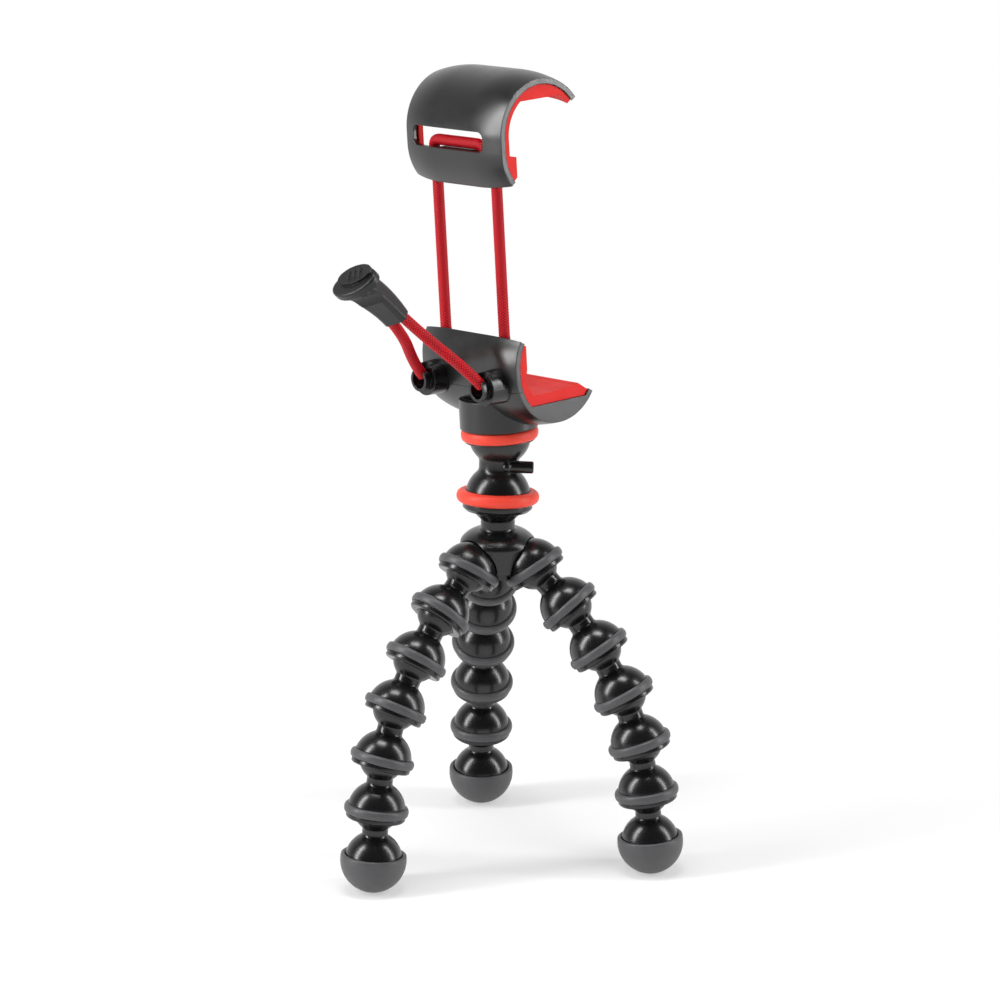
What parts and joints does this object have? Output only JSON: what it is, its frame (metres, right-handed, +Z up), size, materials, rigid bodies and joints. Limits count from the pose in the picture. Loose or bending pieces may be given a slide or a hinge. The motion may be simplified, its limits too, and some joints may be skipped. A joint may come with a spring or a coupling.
{
  "type": "flexible leg tripod",
  "caption": "Small tripod with bendable ball-and-socket legs, a double ball head, and padded jaws drawn together by an elastic cord with a pull tab.",
  "frame": {"origin": "on the ground plane, straight below the centre of the hub's head ball", "axes": "+Z up; +Y towards the grip's open front; +X along the jaws, to the right when the grip is seen from its back"},
  "size_m": [0.0827, 0.0783, 0.1986],
  "materials": {
    "gloss_black": "glossy moulded plastic with fine mould lines",
    "grey_rubber": "matt",
    "red_rubber": "matt, orange-red",
    "jaw_plastic": "satin",
    "pad_red": "matt",
    "cord_red": "fine braid",
    "tab_rubber": "satin"
  },
  "bodies": {
    "hub": {"hub_cap": "gloss_black", "hub_core": "gloss_black", "left_hub_ring": "grey_rubber", "right_hub_ring": "grey_rubber", "back_hub_ring": "grey_rubber"},
    "left_leg_1": {"left_leg_segment_1": "gloss_black", "left_leg_ring_1": "grey_rubber"},
    "left_leg_2": {"left_leg_segment_2": "gloss_black", "left_leg_ring_2": "grey_rubber"},
    "left_leg_3": {"left_leg_segment_3": "gloss_black", "left_leg_ring_3": "grey_rubber"},
    "left_leg_4": {"left_leg_segment_4": "gloss_black", "left_leg_ring_4": "grey_rubber"},
    "left_leg_5": {"left_leg_segment_5": "gloss_black", "left_leg_ring_5": "grey_rubber"},
    "left_foot_body": {"left_foot": "gloss_black", "left_foot_cap": "grey_rubber"},
    "right_leg_1": {"right_leg_segment_1": "gloss_black", "right_leg_ring_1": "grey_rubber"},
    "right_leg_2": {"right_leg_segment_2": "gloss_black", "right_leg_ring_2": "grey_rubber"},
    "right_leg_3": {"right_leg_segment_3": "gloss_black", "right_leg_ring_3": "grey_rubber"},
    "right_leg_4": {"right_leg_segment_4": "gloss_black", "right_leg_ring_4": "grey_rubber"},
    "right_leg_5": {"right_leg_segment_5": "gloss_black", "right_leg_ring_5": "grey_rubber"},
    "right_foot_body": {"right_foot": "gloss_black", "right_foot_cap": "grey_rubber"},
    "back_leg_1": {"back_leg_segment_1": "gloss_black", "back_leg_ring_1": "grey_rubber"},
    "back_leg_2": {"back_leg_segment_2": "gloss_black", "back_leg_ring_2": "grey_rubber"},
    "back_leg_3": {"back_leg_segment_3": "gloss_black", "back_leg_ring_3": "grey_rubber"},
    "back_leg_4": {"back_leg_segment_4": "gloss_black", "back_leg_ring_4": "grey_rubber"},
    "back_leg_5": {"back_leg_segment_5": "gloss_black", "back_leg_ring_5": "grey_rubber"},
    "back_foot_body": {"back_foot": "gloss_black", "back_foot_cap": "grey_rubber"},
    "lower_ring": {"lower_head_ring": "red_rubber"},
    "middle_link": {"middle_link": "gloss_black"},
    "upper_ring": {"upper_head_ring": "red_rubber"},
    "grip": {"grip_base": "jaw_plastic", "lower_jaw_shell": "jaw_plastic", "lower_jaw_pad": "pad_red", "cord_post_left": "gloss_black", "cord_post_right": "gloss_black", "cord_inner_left": "cord_red", "cord_inner_right": "cord_red", "cord_run_left": "cord_red", "cord_run_right": "cord_red"},
    "upper_jaw": {"upper_jaw_shell": "jaw_plastic", "upper_jaw_pad": "pad_red", "cord_bridge": "cord_red"},
    "pull_tab": {"pull_tab": "tab_rubber", "cord_tail_left": "cord_red", "cord_tail_right": "cord_red"}
  },
  "joints": [
    {"name": "left_leg_bend_1", "type": "hinge", "parent": "hub", "child": "left_leg_1", "pos_m": [0, -0.0094, 0.07596], "axis": [-0.9997, 0.0262, 0], "range_deg": [-33.4, 16.6]},
    {"name": "left_leg_bend_2", "type": "hinge", "parent": "left_leg_1", "child": "left_leg_2", "pos_m": [-0.00023, -0.01835, 0.06682], "axis": [0.9997, -0.0262, 0], "range_deg": [-33, 17]},
    {"name": "left_leg_bend_3", "type": "hinge", "parent": "left_leg_2", "child": "left_leg_3", "pos_m": [-0.00043, -0.02595, 0.05651], "axis": [-0.9997, 0.0262, 0], "range_deg": [-18.7, 31.3]},
    {"name": "left_leg_bend_4", "type": "hinge", "parent": "left_leg_3", "child": "left_leg_4", "pos_m": [-0.0006, -0.03236, 0.04544], "axis": [0.9997, -0.0262, 0], "range_deg": [-35.8, 14.2]},
    {"name": "left_leg_bend_5", "type": "hinge", "parent": "left_leg_4", "child": "left_leg_5", "pos_m": [-0.00071, -0.03659, 0.03336], "axis": [-0.9997, 0.0262, 0], "range_deg": [-14.5, 35.5]},
    {"name": "left_leg_bend_6", "type": "hinge", "parent": "left_leg_5", "child": "left_foot_body", "pos_m": [-0.00076, -0.03855, 0.02071], "axis": [0.9997, -0.0262, 0], "range_deg": [-29.2, 20.8]},
    {"name": "right_leg_bend_1", "type": "hinge", "parent": "hub", "child": "right_leg_1", "pos_m": [0.00814, 0.0047, 0.07596], "axis": [0.524, -0.8517, 0], "range_deg": [-33.4, 16.6]},
    {"name": "right_leg_bend_2", "type": "hinge", "parent": "right_leg_1", "child": "right_leg_2", "pos_m": [0.01577, 0.00939, 0.06682], "axis": [-0.524, 0.8517, 0], "range_deg": [-33, 17]},
    {"name": "right_leg_bend_3", "type": "hinge", "parent": "right_leg_2", "child": "right_leg_3", "pos_m": [0.02224, 0.01337, 0.05651], "axis": [0.524, -0.8517, 0], "range_deg": [-18.7, 31.3]},
    {"name": "right_leg_bend_4", "type": "hinge", "parent": "right_leg_3", "child": "right_leg_4", "pos_m": [0.02771, 0.01674, 0.04544], "axis": [-0.524, 0.8517, 0], "range_deg": [-35.8, 14.2]},
    {"name": "right_leg_bend_5", "type": "hinge", "parent": "right_leg_4", "child": "right_leg_5", "pos_m": [0.03131, 0.01895, 0.03336], "axis": [0.524, -0.8517, 0], "range_deg": [-14.5, 35.5]},
    {"name": "right_leg_bend_6", "type": "hinge", "parent": "right_leg_5", "child": "right_foot_body", "pos_m": [0.03298, 0.01998, 0.02071], "axis": [-0.524, 0.8517, 0], "range_deg": [-29.2, 20.8]},
    {"name": "back_leg_bend_1", "type": "hinge", "parent": "hub", "child": "back_leg_1", "pos_m": [-0.00814, 0.0047, 0.07596], "axis": [0.5878, 0.809, 0], "range_deg": [-33.4, 16.6]},
    {"name": "back_leg_bend_2", "type": "hinge", "parent": "back_leg_1", "child": "back_leg_2", "pos_m": [-0.01539, 0.00996, 0.06682], "axis": [-0.5878, -0.809, 0], "range_deg": [-33, 17]},
    {"name": "back_leg_bend_3", "type": "hinge", "parent": "back_leg_2", "child": "back_leg_3", "pos_m": [-0.02153, 0.01443, 0.05651], "axis": [0.5878, 0.809, 0], "range_deg": [-18.7, 31.3]},
    {"name": "back_leg_bend_4", "type": "hinge", "parent": "back_leg_3", "child": "back_leg_4", "pos_m": [-0.02672, 0.0182, 0.04544], "axis": [-0.5878, -0.809, 0], "range_deg": [-35.8, 14.2]},
    {"name": "back_leg_bend_5", "type": "hinge", "parent": "back_leg_4", "child": "back_leg_5", "pos_m": [-0.03015, 0.02069, 0.03336], "axis": [0.5878, 0.809, 0], "range_deg": [-14.5, 35.5]},
    {"name": "back_leg_bend_6", "type": "hinge", "parent": "back_leg_5", "child": "back_foot_body", "pos_m": [-0.03173, 0.02184, 0.02071], "axis": [-0.5878, -0.809, 0], "range_deg": [-29.2, 20.8]},
    {"name": "lower_head_tilt", "type": "hinge", "parent": "hub", "child": "lower_ring", "pos_m": [0, 0, 0.0932], "axis": [-0.8554, -0.518, 0], "range_deg": [-24.6, 13.4]},
    {"name": "lower_head_spin", "type": "hinge", "parent": "lower_ring", "child": "middle_link", "pos_m": [0, 0, 0.0932], "axis": [-0.0506, 0.0835, 0.9952], "continuous": true},
    {"name": "upper_head_tilt", "type": "hinge", "parent": "middle_link", "child": "upper_ring", "pos_m": [-0.00077, 0.00128, 0.10843], "axis": [0.9462, -0.3149, 0.0745], "range_deg": [-27.05, 16.95]},
    {"name": "grip_pan", "type": "hinge", "parent": "upper_ring", "child": "grip", "pos_m": [-0.00077, 0.00128, 0.10843], "axis": [-0.0785, 0, 0.9969], "continuous": true},
    {"name": "jaw_slide", "type": "slide", "parent": "grip", "child": "upper_jaw", "axis": [-0.0785, 0, 0.9969], "range_m": [-0.034, 0.017], "deforming": ["cord_run_left", "cord_run_right"]},
    {"name": "tab_swing", "type": "hinge", "parent": "grip", "child": "pull_tab", "pos_m": [-0.00201, -0.01292, 0.12418], "axis": [-0.9969, 0, -0.0785], "range_deg": [-80, 30]}
  ]
}
